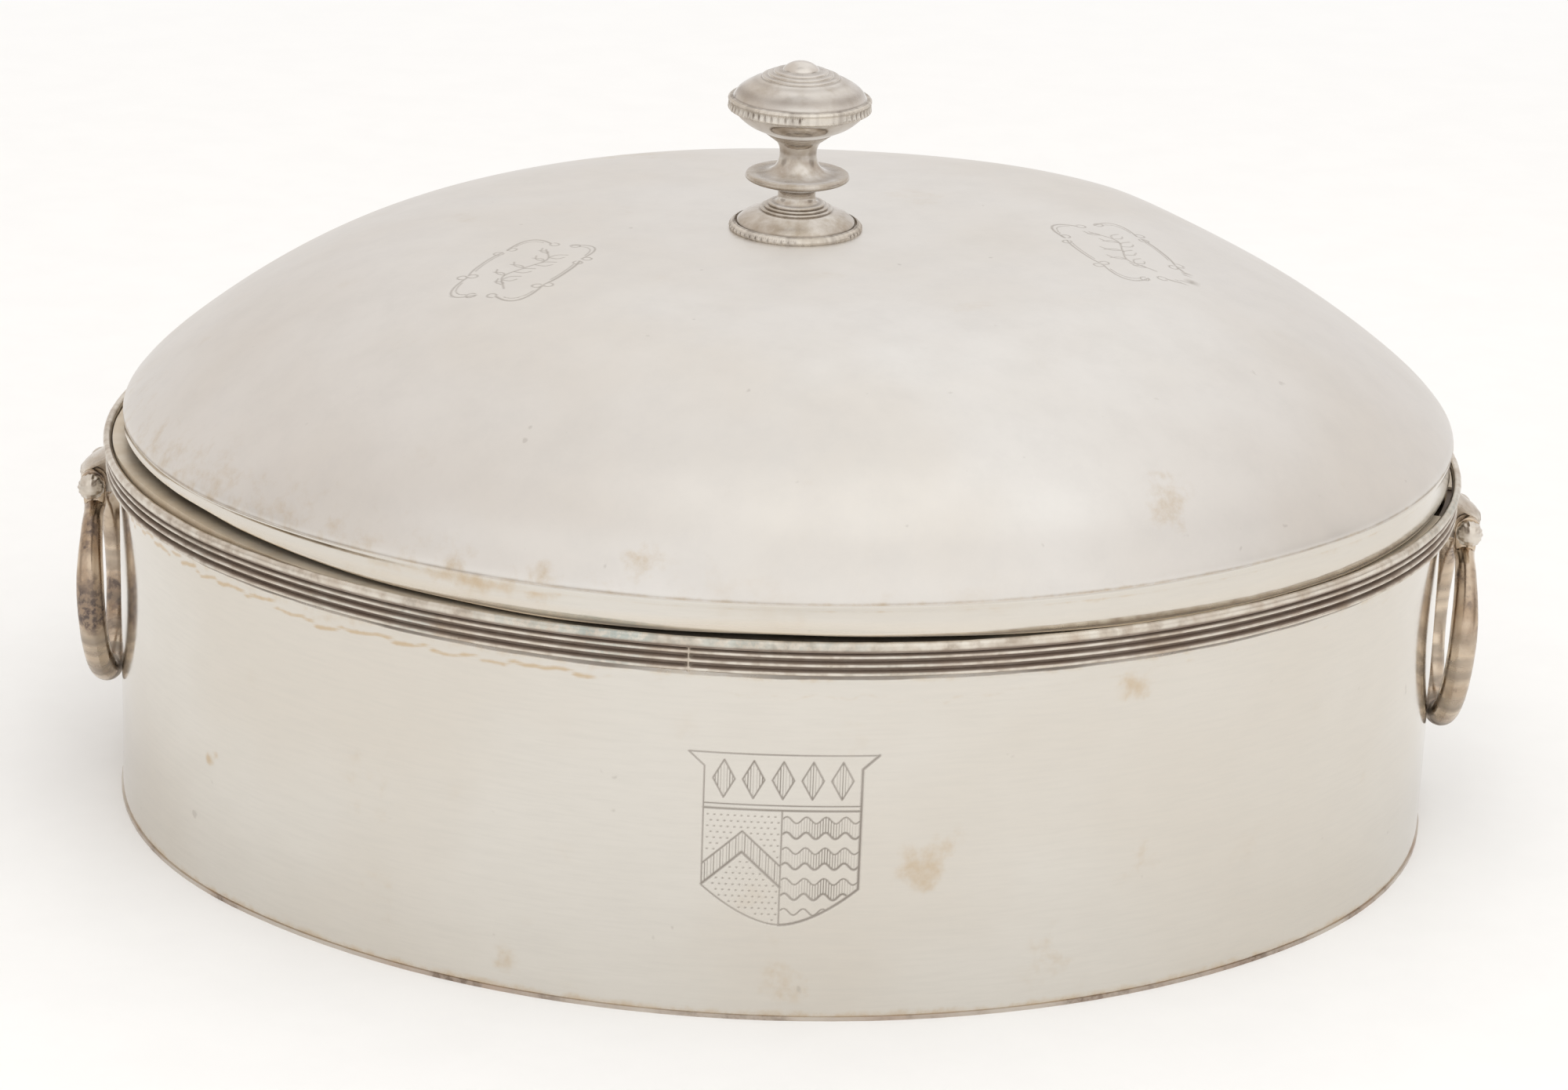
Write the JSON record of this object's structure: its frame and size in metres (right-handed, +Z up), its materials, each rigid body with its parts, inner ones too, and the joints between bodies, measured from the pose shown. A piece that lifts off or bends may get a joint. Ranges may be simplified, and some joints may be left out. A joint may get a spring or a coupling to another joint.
{
  "type": "warming dish",
  "caption": "Oval covered warming dish with a straight-walled hot-water tub, reeded rim, lift-out food pan, domed cover with a turned knob and hinged drop-ring handles.",
  "frame": {"origin": "middle of the base plate's underside, on the surface the dish stands on", "axes": "+Z up; +X along the long axis of the oval, towards the handle that is on the right seen from the engraved front; -Y towards the engraved front"},
  "size_m": [0.4864, 0.3994, 0.2611],
  "materials": {
    "silver_plate": "worn satin silver plate with water stains, pits and fine scratches",
    "tarnished_silver": "silver plate with dark brown tarnish in the grooves",
    "plated_copper": "tinned copper sheet, copper showing at its edge",
    "ring_brass": "silver worn through to a brownish brass, mottled grey-black tarnish",
    "fastener_brass": "dull turned brass"
  },
  "bodies": {
    "tub": {"base_plate": "plated_copper", "tub_wall": "silver_plate", "reeded_band": "tarnished_silver", "rim_wire": "tarnished_silver", "handle_lug_left": "tarnished_silver", "handle_lug_right": "tarnished_silver", "hinge_pins": "tarnished_silver", "pin_balls": "tarnished_silver"},
    "pan": {"food_pan": "silver_plate"},
    "cover": {"cover_dome": "silver_plate", "cover_bezel": "silver_plate", "knob_foot": "silver_plate", "knob_foot_border": "tarnished_silver", "knob_stem": "silver_plate", "knob_bowl": "silver_plate", "knob_band": "tarnished_silver", "knob_cap": "silver_plate", "knob_button": "silver_plate", "knob_stud": "fastener_brass", "knob_washer": "fastener_brass", "knob_nut": "fastener_brass"},
    "ring_left": {"drop_ring_left": "ring_brass"},
    "ring_right": {"drop_ring_right": "ring_brass"}
  },
  "joints": [
    {"name": "pan_lift", "type": "slide", "parent": "tub", "child": "pan", "axis": [0, 0, 1], "range_m": [0, 0.09]},
    {"name": "cover_lift", "type": "slide", "parent": "pan", "child": "cover", "axis": [0, 0, 1], "range_m": [0, 0.06]},
    {"name": "ring_right_swing", "type": "hinge", "parent": "tub", "child": "ring_right", "pos_m": [0.2376, 0, 0.106], "axis": [0, -1, 0], "range_deg": [0, 65]},
    {"name": "ring_left_swing", "type": "hinge", "parent": "tub", "child": "ring_left", "pos_m": [-0.2376, 0, 0.106], "axis": [0, 1, 0], "range_deg": [0, 65]}
  ]
}
